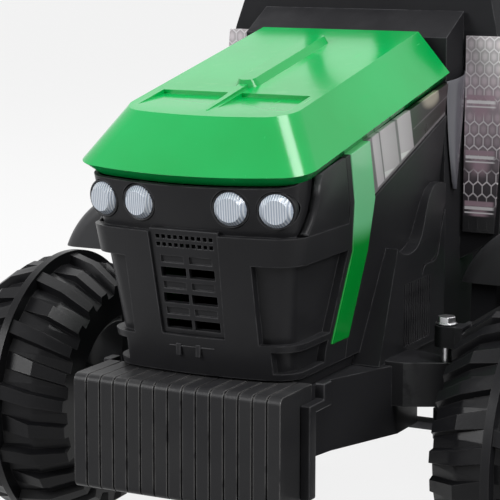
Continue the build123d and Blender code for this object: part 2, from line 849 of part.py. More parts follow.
def rim(centre_x, axle_y, radius, width, rim_radius, bore, outward):
    """A wheel centre: a barrel, a dished disc with round windows, and a hub."""
    half = width / 2 - 10.0
    disc_x = half - 34.0
    disc_thickness = 8.0
    hub_radius = 24.0
    window_radius = rim_radius * 0.17
    with BuildPart() as centre:
        with BuildSketch(Plane.XZ):
            with BuildLine():
                Polyline(
                    (-half, bore),
                    (-half, hub_radius),
                    (disc_x, hub_radius),
                    (disc_x, rim_radius - rim_wall),
                    (-half, rim_radius - rim_wall),
                    (-half, rim_radius),
                    (half, rim_radius),
                    (half, rim_radius - rim_wall),
                    (disc_x + disc_thickness, rim_radius - rim_wall),
                    (disc_x + disc_thickness, hub_radius),
                    (half, hub_radius),
                    (half, bore),
                    close=True,
                )
            make_face()
        revolve(axis=Axis.X)
        with BuildSketch(Plane.YZ.offset(disc_x)):
            with PolarLocations((rim_radius + hub_radius - rim_wall) / 2, 6):
                Circle(window_radius)
        extrude(amount=disc_thickness, mode=Mode.SUBTRACT)
    turned = centre.part if outward > 0 else centre.part.rotate(Axis.Z, 180)
    return turned.moved(Location((centre_x, axle_y, radius)))


# Wheels
front_wheel = (front_axle_y, front_wheel_radius, front_tyre_width, front_rim_radius)
rear_wheel = (rear_axle_y, rear_wheel_radius, rear_tyre_width, rear_rim_radius)
front_tyre_left = tyre(wheel_x, *front_wheel, front_lug_pairs)
rear_tyre_left = tyre(rear_wheel_x, *rear_wheel, rear_lug_pairs)
front_rim_left = rim(wheel_x, *front_wheel, stub_radius + running_gap, 1)
rear_rim_left = rim(rear_wheel_x, *rear_wheel, rear_axle_radius + running_gap, 1)

# Cowl: a hollow neck behind the engine body, with a wide bulkhead behind it that shields the driver's legs
cowl_front_y = front_axle_y + cowl_front
bulkhead_y = cowl_front_y + cowl_neck_depth
cowl_rear_y = bulkhead_y + bulkhead_depth


def cowl_form(inset):
    """The cowl's form: outlines from the front crossed with outlines from the side, moved in by inset."""
    neck = cowl_neck_half_width - inset
    wide = cowl_half_width - inset
    low = cowl_bottom_z - inset
    top = cowl_top_z - inset
    front_points = [
        (neck, low),
        (neck, cowl_flare_z - dash_setback + inset),
        (wide - dash_overhang, cowl_flare_z + inset),
        (wide, cowl_shoulder_z),
        (cowl_top_half_width - inset, top),
    ]
    with BuildPart() as form:
        with BuildSketch(Plane.XZ) as front_outline:
            Polygon(*front_points, *[(-x, z) for x, z in reversed(front_points)], align=None)
            fillet(front_outline.vertices().group_by(Axis.Y)[-1], cowl_corner_radius - inset)
        extrude(amount=2 * far, both=True)
        with BuildSketch(Plane.YZ):
            Polygon(
                (bulkhead_y + inset, low),
                (cowl_rear_y - 2 * dash_overhang - inset, low),
                (cowl_rear_y - inset, cowl_shoulder_z),
                (cowl_rear_y + dash_overhang - inset, cowl_top_z - dash_drop),
                (bulkhead_y + dash_setback, top),
                (bulkhead_y + dash_overhang + inset, top),
                (bulkhead_y + inset, cowl_top_z - dash_drop),
                align=None,
            )
        extrude(amount=far, both=True, mode=Mode.INTERSECT)
        with BuildSketch(Plane.YZ):
            Polygon(
                (cowl_front_y + inset, low),
                (bulkhead_y + inset + seat_gap, low),
                (bulkhead_y + inset + seat_gap, top - dash_setback),
                (cowl_front_y + inset, top - 2 * dash_setback),
                align=None,
            )
        extrude(amount=neck, both=True)
    return form.part


with BuildPart() as cowl:
    add(cowl_form(0.0))
    add(cowl_form(cowl_wall), mode=Mode.SUBTRACT)
    with BuildSketch(column_plane):
        Circle(shaft_radius + shaft_gap)
    extrude(amount=column_length + far, mode=Mode.SUBTRACT)

# Steering column: a shaft with a crank at its foot, and the hand wheel on top
wheel_plane = column_plane.offset(column_length)
crank_low = rod_top_z - rod_thickness - 2 * pin_tail
crank_pin_length = (crank_end_z - crank_low) / column_rise
with BuildPart() as steering_shaft:
    with BuildSketch(column_plane.offset(crank_lift)):
        Circle(shaft_radius)
    extrude(amount=column_length - crank_lift)
    with BuildSketch(column_plane.offset(crank_lift)):
        with Locations((0, crank_length / 2)):
            Rectangle(2 * pin_radius + 4.0, crank_length)
        with Locations((0, crank_length)):
            Circle(pin_radius + 2.0)
        Circle(shaft_radius + 2.0)
    extrude(amount=crank_thickness)
    with BuildSketch(column_plane.offset(crank_lift)):
        with Locations((0, crank_length)):
            Circle(pin_radius)
    extrude(amount=-crank_pin_length)

spoke_count = 3
spoke_width = 20.0
hub_size = 26.0
hub_height = 10.0
with BuildPart() as steering_wheel:
    with Locations(wheel_plane.offset(wheel_rim_section)):
        Torus(wheel_rim_radius, wheel_rim_section)
    with BuildSketch(wheel_plane):
        Circle(hub_size)
        with PolarLocations(wheel_rim_radius / 2, spoke_count, start_angle=-90):
            Rectangle(wheel_rim_radius, spoke_width)
    extrude(amount=hub_height)
    with BuildSketch(wheel_plane.offset(hub_height)):
        Circle(hub_size)
    extrude(amount=hub_height, taper=20)

# Dash panels on the driver's side of the cowl, one on each side of the column
dash_low = (cowl_rear_y + dash_overhang, cowl_top_z - dash_drop)
dash_high = (bulkhead_y + dash_setback, cowl_top_z)
dash_dir = Vector(0, dash_high[0] - dash_low[0], dash_high[1] - dash_low[1])
dash_mid = Vector(0, (dash_high[0] + dash_low[0]) / 2, (dash_high[1] + dash_low[1]) / 2)
dash_plane = Plane(origin=dash_mid, x_dir=(1, 0, 0), z_dir=dash_dir.cross(Vector(1, 0, 0)).normalized())
dash_margin = 16.0
dash_width = cowl_top_half_width / 2
with BuildPart() as dash_panels:
    with BuildSketch(dash_plane.offset(seat_gap)):
        with GridLocations(cowl_top_half_width + dash_margin / 2, 1.0, 2, 1):
            RectangleRounded(dash_width, dash_dir.length - dash_margin, dash_margin / 3)
    extrude(amount=shield_thickness)

# Leg shields: printed plates on the front of the bulkhead, beside the neck
shield_outline = [
    (cowl_neck_half_width + shield_margin, cowl_flare_z + shield_margin),
    (cowl_half_width - dash_overhang - shield_margin, cowl_flare_z + shield_margin),
    (cowl_half_width - shield_margin, cowl_shoulder_z),
    (cowl_half_width - 2 * shield_margin, cowl_top_z - dash_drop - shield_margin),
    (cowl_neck_half_width + shield_margin, cowl_top_z - dash_drop - shield_margin),
]
with BuildPart() as shield_panels:
    with BuildSketch(Plane.XZ.offset(-bulkhead_y + seat_gap)):
        Polygon(*shield_outline, align=None)
        mirror(about=Plane.YZ)
    extrude(amount=shield_thickness)

# Footboard: a ribbed tray on the keel
floor_rear_y = rear_axle_y - rear_body_front - 1.0
floor_front_y = front_axle_y + floor_front
floor_length = floor_rear_y - floor_front_y
rib_inner_x = keel_half_width + floor_corner_radius
rib_length = floor_half_width / 4
with BuildPart() as footboard:
    with BuildSketch(Plane.XY.offset(floor_z)):
        with Locations((0, (floor_front_y + floor_rear_y) / 2)):
            RectangleRounded(2 * floor_half_width, floor_length, floor_corner_radius)
        with Locations((0, (floor_front_y + frame_rear_y) / 2)):
            Rectangle(
                2 * (frame_half_width + 6.5), frame_rear_y - floor_front_y + 0.6, mode=Mode.SUBTRACT
            )
    extrude(amount=floor_thickness)
    with BuildSketch(Plane.XY.offset(floor_z + floor_thickness)):
        for side in (1, -1):
            with Locations((side * (rib_inner_x + rib_length / 2), (floor_front_y + floor_rear_y) / 2)):
                with GridLocations(1.0, floor_length / (floor_ribs + 1), 1, floor_ribs):
                    SlotOverall(rib_length, 3 * floor_rib_height)
    extrude(amount=floor_rib_height)

# Wheel arch fairing: a domed cover behind each front wheel, with a wall down to the footboard
arch_depth = arch_rear - arch_front
with BuildPart() as wheel_arch_left:
    with BuildSketch(Plane.XZ.offset(-front_axle_y - arch_front)):
        with BuildLine():
            ThreePointArc((arch_inner_x, arch_low_z), (arch_crest_x, arch_crest_z), (arch_outer_x, arch_low_z))
            Line((arch_inner_x, arch_low_z), (arch_outer_x, arch_low_z))
        make_face()
    extrude(amount=-arch_depth)
    front_edges = wheel_arch_left.faces().sort_by(Axis.Y)[0].edges()
    fillet(front_edges.sort_by(Axis.Z)[-1], arch_dome)
    offset(amount=-arch_wall, openings=wheel_arch_left.faces().sort_by(Axis.Z)[0])
    wall_low_z = floor_z + floor_thickness
    wall_half_width = (arch_outer_x - arch_inner_x) / 2
    with Locations((arch_inner_x + wall_half_width, front_axle_y + arch_rear, wall_low_z)):
        Box(
            2 * (wall_half_width - arch_wall),
            arch_wall,
            arch_low_z + arch_wall - wall_low_z,
            align=(Align.CENTER, Align.MAX, Align.MIN),
        )
    add(cowl_form(-seat_gap), mode=Mode.SUBTRACT)
with BuildPart() as wheel_arch_right:
    mirror(wheel_arch_left.part, about=Plane.YZ)

# Bed plate between the frame and the engine body
bed_front_y = front_y + weight_depth + 1.0
with BuildPart() as engine_bed:
    with Locations((0, (bed_front_y + body_rear_y) / 2, frame_top_z)):
        Box(
            2 * bed_half_width,
            body_rear_y - bed_front_y,
            body_bottom_z - frame_top_z,
            align=(Align.CENTER, Align.CENTER, Align.MIN),
        )
    with Locations((0, front_axle_y, axle_top_z + seat_gap)):
        Box(
            2 * far,
            2 * (axle_half_depth + seat_gap),
            axle_top_z - frame_top_z + seat_gap,
            align=(Align.CENTER, Align.CENTER, Align.MAX),
            mode=Mode.SUBTRACT,
        )
    with BuildSketch(column_plane):
        Circle(shaft_radius + shaft_gap)
    extrude(amount=far, mode=Mode.SUBTRACT)

# Rear body: an open-topped tub under the seat
rear_body_front_y = rear_axle_y - rear_body_front
rear_body_rear_y = rear_axle_y + rear_body_rear
tub_mid_y = (rear_body_front_y + rear_body_rear_y) / 2
with BuildPart() as rear_body:
    with Locations((0, tub_mid_y, rear_body_bottom_z)):
        Box(
            2 * rear_body_half_width,
            rear_body_rear_y - rear_body_front_y,
            rear_body_top_z - rear_body_bottom_z,
            align=(Align.CENTER, Align.CENTER, Align.MIN),
        )
    fillet(rear_body.edges().filter_by(Axis.Z), floor_corner_radius)
    offset(amount=-rear_body_wall, openings=rear_body.faces().sort_by(Axis.Z)[-1])

# Battery on the tub's floor
with BuildPart() as battery:
    with Locations((0, tub_mid_y, rear_body_bottom_z + rear_body_wall)):
        Box(*battery_size, align=(Align.CENTER, Align.CENTER, Align.MIN))

# Seat: a moulded pan and fluted backrest between bolsters, on a flange that closes the tub
seat_front_y = rear_body_front_y + 10.0
seat_back_y = rear_body_rear_y - seat_back_inset
flange_thickness = 6.0
pan_z = rear_body_top_z + seat_thickness
back_z = rear_body_top_z + seat_back_height
back_top_y = seat_back_y + seat_back_lean
bolster_width = 30.0
bolster_rise = 22.0
back_dir = Vector(0, back_top_y - seat_back_y, back_z - pan_z).normalized()
back_middle = Vector(0, (seat_back_y + back_top_y) / 2, (pan_z + back_z) / 2 + bolster_rise)
back_plane = Plane(origin=back_middle, x_dir=(1, 0, 0), z_dir=(0, -back_dir.Z, back_dir.Y))
with BuildPart() as seat_shell:
    with BuildSketch(Plane.YZ):
        with BuildLine():
            FilletPolyline(
                (seat_front_y, rear_body_top_z),
                (seat_front_y, pan_z),
                (seat_back_y, pan_z),
                (back_top_y, back_z),
                (back_top_y + seat_back_thickness, back_z),
                (seat_back_y + 2 * seat_back_thickness, rear_body_top_z),
                radius=seat_edge_radius,
            )
            Line((seat_back_y + 2 * seat_back_thickness, rear_body_top_z), (seat_front_y, rear_body_top_z))
        make_face()
    extrude(amount=seat_half_width, both=True)
    bolster_planes = [Plane.YZ.offset(x) for x in (-seat_half_width, seat_half_width - bolster_width)]
    with BuildSketch(*bolster_planes):
        with BuildLine():
            FilletPolyline(
                (seat_front_y + bolster_rise, pan_z - flange_thickness),
                (seat_front_y + 2 * bolster_rise, pan_z + bolster_rise),
                (seat_back_y - bolster_rise, pan_z + 2 * bolster_rise),
                (back_top_y - bolster_rise, back_z - seat_corner_radius),
                (back_top_y + flange_thickness, back_z - bolster_rise),
                radius=seat_edge_radius,
            )
            Polyline(
                (back_top_y + flange_thickness, back_z - bolster_rise),
                (seat_back_y + bolster_rise, pan_z - flange_thickness),
                (seat_front_y + bolster_rise, pan_z - flange_thickness),
            )
        make_face()
    extrude(amount=bolster_width)
    with BuildSketch(back_plane):
        with GridLocations(1.0, bolster_rise, 1, seat_flutes):
            SlotOverall(2 * (seat_half_width - 2 * bolster_width), flange_thickness)
    extrude(amount=-flange_thickness / 2, mode=Mode.SUBTRACT)
    with BuildSketch(Plane.XZ) as seat_face:
        Rectangle(2 * seat_half_width, back_z, align=(Align.CENTER, Align.MIN))
        fillet(seat_face.vertices().group_by(Axis.Y)[-1], seat_corner_radius)
    extrude(amount=overall_length, both=True, mode=Mode.INTERSECT)
with BuildPart() as seat:
    add(seat_shell.part)
    with BuildSketch(Plane.XY.offset(rear_body_top_z)):
        with Locations((0, tub_mid_y)):
            RectangleRounded(2 * rear_body_half_width, rear_body_rear_y - rear_body_front_y, floor_corner_radius)
    extrude(amount=flange_thickness)

# Rear fenders: a swept arch with a rolled lip over each rear wheel, and a wall beside the seat
fender_front_angle = 172.0
fender_rear_angle = 20.0
rear_wheel_axis = Axis((0, rear_axle_y, rear_wheel_radius), (1, 0, 0))
fender_start = Plane(
    origin=rear_wheel_axis.position,
    x_dir=(1, 0, 0),
    z_dir=(0, -sin(radians(fender_rear_angle)), cos(radians(fender_rear_angle))),
)
fender_crown = fender_radius + fender_wall
with BuildPart() as rear_fender_left:
    with BuildSketch(fender_start):
        with BuildLine():
            FilletPolyline(
                (fender_x, fender_crown),
                (fender_outer_x, fender_crown),
                (fender_outer_x, fender_crown - fender_lip),
                radius=fender_shoulder,
            )
            Polyline(
                (fender_outer_x, fender_crown - fender_lip),
                (fender_outer_x - fender_wall, fender_crown - fender_lip),
                (fender_outer_x - fender_wall, fender_radius - fender_wall),
                (fender_outer_x - 2 * fender_wall, fender_radius),
                (fender_x, fender_radius),
                (fender_x, fender_crown),
            )
        make_face()
    revolve(axis=rear_wheel_axis, revolution_arc=fender_front_angle - fender_rear_angle)
    with BuildSketch(Plane.YZ.offset(fender_x)):
        with Locations((rear_axle_y, rear_wheel_radius)):
            Circle(fender_radius + fender_wall / 2)
        with Locations((rear_axle_y, rear_body_top_z - seat_thickness)):
            Rectangle(2 * far, far, align=(Align.CENTER, Align.MAX), mode=Mode.SUBTRACT)
    extrude(amount=fender_side_wall)
with BuildPart() as rear_fender_right:
    mirror(rear_fender_left.part, about=Plane.YZ)

# Rear axle, with a gearbox and motor inside each wheel
with BuildPart() as rear_axle:
    with BuildSketch(Plane.YZ):
        with Locations((rear_axle_y, rear_wheel_radius)):
            Circle(rear_axle_radius)
    extrude(amount=rear_wheel_x + rear_tyre_width / 2 - 6.0, both=True)

with BuildPart() as gearboxes:
    for side in (1, -1):
        with Locations((side * (gearbox_outer_x - gearbox_size[0] / 2), rear_axle_y, rear_body_bottom_z)):
            Box(*gearbox_size, align=(Align.CENTER, Align.CENTER, Align.MAX))
        with BuildSketch(Plane.YZ.offset(side * (gearbox_outer_x - gearbox_size[0]))):
            with Locations((rear_axle_y - 20.0, rear_wheel_radius + 8.0)):
                Circle(motor_radius)
        extrude(amount=-side * motor_length)
    with BuildSketch(Plane.YZ):
        with Locations((rear_axle_y, rear_wheel_radius)):
            Circle(rear_axle_radius + running_gap)
    extrude(amount=far, both=True, mode=Mode.SUBTRACT)

# Trailer hitch: a drawbar plate with a pin hole
hitch_top_z = rear_body_bottom_z
hitch_rear_y = rear_axle_y + rear_overhang
hitch_front_y = keel_rear_y - 5.0
with BuildPart() as hitch:
    with BuildSketch(Plane.XY.offset(hitch_top_z - hitch_thickness)):
        with Locations((0, (hitch_front_y + hitch_rear_y) / 2)):
            RectangleRounded(2 * hitch_half_width, hitch_rear_y - hitch_front_y, 14.0)
        with Locations((0, hitch_rear_y - hitch_hole_inset)):
            Circle(hitch_hole_radius, mode=Mode.SUBTRACT)
    extrude(amount=hitch_thickness)

# Tail lamps on the rear of the tub
tail_lamp_size = (34.0, 10.0, 60.0)
with BuildPart() as tail_lamps:
    for side in (1, -1):
        with Locations((side * (rear_body_half_width - 34.0), rear_body_rear_y, rear_body_top_z - 20.0)):
            Box(*tail_lamp_size, align=(Align.CENTER, Align.MIN, Align.MAX))

# Foot pedal on the right of the footboard
with BuildPart() as foot_pedal:
    with BuildSketch(Plane.YZ.offset(-floor_half_width + 40.0)):
        Polygon(
            (floor_front_y + 30.0, floor_z + floor_thickness),
            (floor_front_y + 110.0, floor_z + floor_thickness),
            (floor_front_y + 36.0, floor_z + floor_thickness + 34.0),
            align=None,
        )
    extrude(amount=52.0)

pieces = {
    "front_weights": front_weights.part,
    "weight_bracket": weight_bracket.part,
    "chassis_frame": chassis_frame.part,
    "body_risers": body_risers.part,
    "engine_bed": engine_bed.part,
    "front_axle": front_axle.part,
    "kingpins": kingpins.part,
    "nose": nose.part,
    "grille": grille.part,
    "headlamp_bezels": headlamp_bezels.part,
    "headlamp_lenses": headlamp_lenses.part,
    "side_stripes": side_stripes.part,
    "side_windows": side_windows.part,
    "side_panel_left": side_panel_solids[-1],
    "side_panel_right": side_panel_solids[0],
    "hood": hood_shell,
    "cowl": cowl.part,
    "dash_panels": dash_panels.part,
    "shield_panels": shield_panels.part,
    "footboard": footboard.part,
    "foot_pedal": foot_pedal.part,
    "rear_body": rear_body.part,
    "battery": battery.part,
    "seat": seat.part,
    "rear_fender_left": rear_fender_left.part,
    "rear_fender_right": rear_fender_right.part,
    "rear_axle": rear_axle.part,
    "gearboxes": gearboxes.part,
    "hitch": hitch.part,
    "tail_lamps": tail_lamps.part,
    "steering_shaft": steering_shaft.part,
    "steering_wheel": steering_wheel.part,
    "tie_rod": tie_rod.part,
    "knuckle_left": knuckle_left.part,
    "knuckle_right": knuckle_right.part,
    "wheel_arch_left": wheel_arch_left.part,
    "wheel_arch_right": wheel_arch_right.part,
    "front_tyre_left": front_tyre_left,
    "front_tyre_right": mirrored(front_tyre_left),
    "front_rim_left": front_rim_left,
    "front_rim_right": mirrored(front_rim_left),
    "rear_tyre_left": rear_tyre_left,
    "rear_tyre_right": mirrored(rear_tyre_left),
    "rear_rim_left": rear_rim_left,
    "rear_rim_right": mirrored(rear_rim_left),
}
for name, piece in pieces.items():
    piece.label = name
    export_step(piece, f"parts/{name}.step")
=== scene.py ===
import bpy
import bmesh
import json
from math import radians, sqrt
from mathutils import Matrix, Vector


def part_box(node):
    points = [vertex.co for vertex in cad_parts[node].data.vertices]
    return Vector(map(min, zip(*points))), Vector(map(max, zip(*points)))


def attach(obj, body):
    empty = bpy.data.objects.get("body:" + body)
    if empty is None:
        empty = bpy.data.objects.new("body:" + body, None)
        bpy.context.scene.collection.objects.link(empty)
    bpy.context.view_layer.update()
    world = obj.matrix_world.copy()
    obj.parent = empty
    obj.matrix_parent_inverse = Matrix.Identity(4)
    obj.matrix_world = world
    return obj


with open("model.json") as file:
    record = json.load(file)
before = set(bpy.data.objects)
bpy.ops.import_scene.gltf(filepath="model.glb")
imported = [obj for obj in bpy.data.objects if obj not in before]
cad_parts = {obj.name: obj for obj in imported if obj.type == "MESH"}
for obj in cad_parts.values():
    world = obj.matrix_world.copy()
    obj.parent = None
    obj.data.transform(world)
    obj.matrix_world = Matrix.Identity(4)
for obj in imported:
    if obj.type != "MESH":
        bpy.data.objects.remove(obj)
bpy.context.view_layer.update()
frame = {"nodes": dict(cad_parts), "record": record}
nodes = frame["nodes"]
record = frame["record"]
frontAxleY = (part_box("front_axle")[0].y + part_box("front_axle")[1].y) / 2  # side-view places start here
mm = 1000  # millimetres in a metre
print("frame:", len(nodes), "nodes")


class Field:  # a shader socket that adds, scales and blends like a number
    def __init__(self, tree, socket):
        self.tree = tree
        self.socket = socket

    def make(self, kind, settings=None, inputs=None, output=0):  # any other node
        node = self.tree.nodes.new(kind)
        for key, value in (settings or {}).items():
            setattr(node, key, value)
        for key, value in (inputs or {}).items():
            self.feed(node.inputs[key], value)
        return Field(self.tree, node.outputs[output])

    def feed(self, target, value):
        if isinstance(value, Field):
            self.tree.links.new(value.socket, target)
        else:
            target.default_value = value

    def maths(self, operation, *values):
        node = self.tree.nodes.new("ShaderNodeMath")
        node.operation = operation
        for target, value in zip(node.inputs, values):
            self.feed(target, value)
        return Field(self.tree, node.outputs[0])

    def __add__(self, other):
        return self.maths("ADD", self, other)

    def __radd__(self, other):
        return self.maths("ADD", other, self)

    def __sub__(self, other):
        return self.maths("SUBTRACT", self, other)

    def __rsub__(self, other):
        return self.maths("SUBTRACT", other, self)

    def __mul__(self, other):
        return self.maths("MULTIPLY", self, other)

    def __rmul__(self, other):
        return self.maths("MULTIPLY", other, self)

    def __truediv__(self, other):
        return self.maths("DIVIDE", self, other)

    def __rtruediv__(self, other):
        return self.maths("DIVIDE", other, self)

    def __pow__(self, other):
        return self.maths("POWER", self, other)

    def __gt__(self, other):
        return self.maths("GREATER_THAN", self, other)

    def __lt__(self, other):
        return self.maths("LESS_THAN", self, other)

    def step(self, low, high):  # smooth rise from 0 at low to 1 at high
        return self.make(
            "ShaderNodeMapRange",
            {"interpolation_type": "SMOOTHSTEP"},
            {"Value": self, "From Min": low, "From Max": high},
        )

    def band(self, low, high, soft):  # 1 between low and high
        return self.step(low - soft, low + soft) * (1 - self.step(high - soft, high + soft))

    def wrap(self, period):
        return self.maths("FLOORED_MODULO", self, period)

    def wave(self, turns):
        angle = self * turns
        return angle.maths("SINE", angle)

    def size(self):
        return self.maths("ABSOLUTE", self)

    def noise(self, scale, detail=2.0, stretch=(1, 1, 1)):
        spread = self.make("ShaderNodeMapping", None, {"Vector": self, "Scale": stretch})
        return self.make("ShaderNodeTexNoise", None, {"Vector": spread, "Scale": scale, "Detail": detail})

    def axes(self):
        node = self.tree.nodes.new("ShaderNodeSeparateXYZ")
        self.feed(node.inputs[0], self)
        return [Field(self.tree, out) for out in node.outputs]

    def blend(self, first, second):  # this field picks between two colours
        node = self.tree.nodes.new("ShaderNodeMix")
        node.data_type = "RGBA"
        self.feed(node.inputs["Factor"], self)
        for key, value in (("A", first), ("B", second)):
            target = [s for s in node.inputs if s.name == key and s.type == "RGBA"][0]
            self.feed(target, value)
        return Field(self.tree, [s for s in node.outputs if s.type == "RGBA"][0])

    def upward(self):  # 1 where a face looks straight up
        return self.make("ShaderNodeNewGeometry", None, None, "Normal").axes()[2]

    def squareness(self, reach):  # 1 on a flat face, less within reach of an edge
        rounded = self.make("ShaderNodeBevel", {"samples": 4}, {"Radius": reach})
        flat = self.make("ShaderNodeNewGeometry", None, None, "True Normal")
        return self.make("ShaderNodeVectorMath", {"operation": "DOT_PRODUCT"}, {0: rounded, 1: flat}, "Value")

    def bump(self, strength, distance):
        return self.make("ShaderNodeBump", None, {"Height": self, "Strength": strength, "Distance": distance})


def rgb(red, green, blue):  # 0-255 display values to linear
    def linear(c):
        c = c / 255
        return c / 12.92 if c <= 0.04045 else ((c + 0.055) / 1.055) ** 2.4

    return (linear(red), linear(green), linear(blue), 1.0)


def startMaterial(name, **sockets):
    material = bpy.data.materials.new(name)
    material.use_nodes = True
    tree = material.node_tree
    shader = tree.nodes["Principled BSDF"]
    for key, value in sockets.items():
        shader.inputs[key.replace("_", " ")].default_value = value
    coords = Field(tree, tree.nodes.new("ShaderNodeTexCoord").outputs["Object"])
    return material, coords, shader


def wire(coords, shader, **fields):
    for key, value in fields.items():
        coords.feed(shader.inputs[key.replace("_", " ")], value)


plasticSet = {  # noises as scale, detail and stretch; then the steps they are cut at
    "grainDetail": 3.0, "cloud": (9.0, 4.0), "rub": (70.0, 5.0, (1, 0.25, 1)), "dust": (38.0, 6.0),
    "flat": (0.90, 0.995), "clouded": (0.3, 0.7), "edgeMarkBreakup": (0.30, 0.55), "scuffed": (0.55, 0.8),
    "faceUp": (0.35, 1.0), "dusty": (0.42, 0.75),
    "cloudRough": 0.12, "dustRough": 0.25, "rimRough": 0.08, "grainDepth": 0.0006,
}


def mouldedPlastic(name, look):
    own = plasticSet
    material, coords, shader = startMaterial(name, Specular_IOR_Level=look["shine"])
    grain = coords.noise(look["grainScale"], own["grainDetail"])
    cloud = coords.noise(*own["cloud"])
    rub = coords.noise(*own["rub"])
    rim = 1 - coords.squareness(look["edge"]).step(*own["flat"])  # edges: partly rubbing, partly a painted highlight
    dusty = coords.noise(*own["dust"]).step(*own["dusty"])
    dust = coords.upward().step(*own["faceUp"]) * dusty * look["dust"]
    tone = cloud.step(*own["clouded"]).blend(look["colour"], look["shade"])
    # edges lightened toward the dust colour: partly rubbing, partly a painted highlight
    wornAndHighlit = (rim * rub.step(*own["edgeMarkBreakup"]) * look["edgeWearAndHighlight"]).blend(tone, look["dustColour"])
    rough = look["rough"] + (cloud - 0.5) * own["cloudRough"] + rub.step(*own["scuffed"]) * look["scuff"]
    wire(
        coords,
        shader,
        Base_Color=dust.blend(wornAndHighlit, look["dustColour"]),
        Roughness=rough + dust * own["dustRough"] - rim * own["rimRough"],
        Normal=grain.bump(look["grain"], own["grainDepth"]),
    )
    return material


# each look's edge share lightens its edges: partly rubbing, partly a painted highlight
blackLook = {
    "colour": rgb(38, 38, 40), "shade": rgb(31, 31, 33), "dustColour": rgb(112, 112, 114),
    "dust": 0.04, "shine": 0.14, "rough": 0.34, "scuff": 0.10, "grain": 0.16, "grainScale": 900.0,
    "edgeWearAndHighlight": 0.42, "edge": 0.0016,
}
cowlLook = dict(blackLook, rough=0.62, shine=0.05)  # duller, so the fenders don't show in it
greyLook = {
    "colour": rgb(62, 62, 64), "shade": rgb(54, 54, 56), "dustColour": rgb(104, 103, 100),
    "dust": 0.10, "shine": 0.2, "rough": 0.38, "scuff": 0.12, "grain": 0.10, "grainScale": 700.0,
    "edgeWearAndHighlight": 0.3, "edge": 0.0016,
}
weightLook = {
    "colour": rgb(46, 46, 47), "shade": rgb(37, 37, 39), "dustColour": rgb(128, 127, 126),
    "dust": 0.08, "shine": 0.14, "rough": 0.34, "scuff": 0.1, "grain": 0.25, "grainScale": 600.0,
    "edgeWearAndHighlight": 0.5, "edge": 0.0020,
}
tyreLook = {
    "colour": rgb(27, 27, 29), "shade": rgb(22, 22, 24), "dustColour": rgb(58, 57, 57),
    "dust": 0.06, "shine": 0.14, "rough": 0.30, "scuff": 0.14, "grain": 0.14, "grainScale": 420.0,
    "edgeWearAndHighlight": 0.35, "edge": 0.0020,
}
rimLook = {
    "colour": rgb(98, 99, 101), "shade": rgb(84, 85, 88), "dustColour": rgb(132, 130, 126),
    "dust": 0.12, "shine": 0.4, "rough": 0.34, "scuff": 0.1, "grain": 0.08, "grainScale": 800.0,
    "edgeWearAndHighlight": 0.25, "edge": 0.0014,
}
bladeLook = {
    "colour": rgb(92, 92, 99), "shade": rgb(78, 78, 84), "dustColour": rgb(150, 149, 154),
    "dust": 0.05, "shine": 0.7, "rough": 0.24, "scuff": 0.08, "grain": 0.05, "grainScale": 900.0,
    "edgeWearAndHighlight": 0.2, "edge": 0.0012,
}
blackPlastic = mouldedPlastic("blackPlastic", blackLook)
cowlPlastic = mouldedPlastic("cowlPlastic", cowlLook)
greyPlastic = mouldedPlastic("greyPlastic", greyLook)
weightPlastic = mouldedPlastic("weightPlastic", weightLook)
tyrePlastic = mouldedPlastic("tyrePlastic", tyreLook)
rimPlastic = mouldedPlastic("rimPlastic", rimLook)
bladePlastic = mouldedPlastic("bladePlastic", bladeLook)

paintSet = {  # noises as scale, detail and stretch; then the steps they are cut at
    "cloud": (6.0, 3.0), "hair": (240.0, 4.0, (1, 0.06, 0.4)), "peel": (130.0, 2.0), "dust": (60.0, 6.0),
    "clouded": (0.3, 0.75), "scratched": (0.6, 0.78), "faceUp": (0.5, 1.0), "dusty": (0.55, 0.8),
    "dustShare": 0.06, "paintedReflectionWander": 0.02, "cloudRough": 0.06, "hairRough": 0.12, "hairCoat": 0.5,
    "peelDepth": 0.0008, "coatRough": 0.06, "shine": 0.38,
}
greenLook = {
    "colour": rgb(4, 174, 86), "deep": rgb(2, 156, 70), "dustColour": rgb(150, 196, 160),
    "rough": 0.16, "peel": 0.05, "coat": 0.12,
}
# the stripe's pale colour towards the top is a painted reflection; deep low down
stripeLook = {
    "colour": rgb(124, 216, 154), "deep": rgb(2, 152, 52), "dustColour": rgb(150, 196, 160),
    "rough": 0.16, "peel": 0.05, "coat": 0.12, "paintedReflectionHeight": (0.324, 0.348),  # painted reflection: paler towards the top, metres
}


def glossGreen(name, look):
    own = paintSet
    material, coords, shader = startMaterial(
        name, Coat_Roughness=own["coatRough"], Specular_IOR_Level=own["shine"]
    )
    cloud = coords.noise(*own["cloud"])
    hair = coords.noise(*own["hair"]).step(*own["scratched"])  # fine handling scratches
    peel = coords.noise(*own["peel"])
    dusty = coords.noise(*own["dust"]).step(*own["dusty"])
    dust = coords.upward().step(*own["faceUp"]) * dusty * own["dustShare"]
    share = cloud.step(*own["clouded"])
    # on the stripe: a painted reflection, paler towards the top and deep low down
    if "paintedReflectionHeight" in look:
        share = 1 - (coords.axes()[2] + (cloud - 0.5) * own["paintedReflectionWander"]).step(*look["paintedReflectionHeight"])
    wire(
        coords,
        shader,
        Base_Color=dust.blend(share.blend(look["colour"], look["deep"]), look["dustColour"]),
        Roughness=look["rough"] + (cloud - 0.5) * own["cloudRough"] + hair * own["hairRough"] + dust,
        Coat_Weight=look["coat"] * (1 - hair * own["hairCoat"]),
        Normal=peel.bump(look["peel"], own["peelDepth"]),
    )
    return material


greenPlastic = glossGreen("glossGreen", greenLook)
stripePlastic = glossGreen("stripeGreen", stripeLook)

steelSet = {
    "drawn": (500.0, 4.0, (1, 1, 0.05)), "cloud": (40.0, 4.0), "clouded": (0.35, 0.7), "shade": 0.8,
    "cloudRough": 0.2, "drawnRough": 0.15, "bump": (0.08, 0.0003),
}
zincLook = {"colour": rgb(200, 200, 202), "rough": 0.32}
darkLook = {"colour": rgb(60, 60, 62), "rough": 0.42}


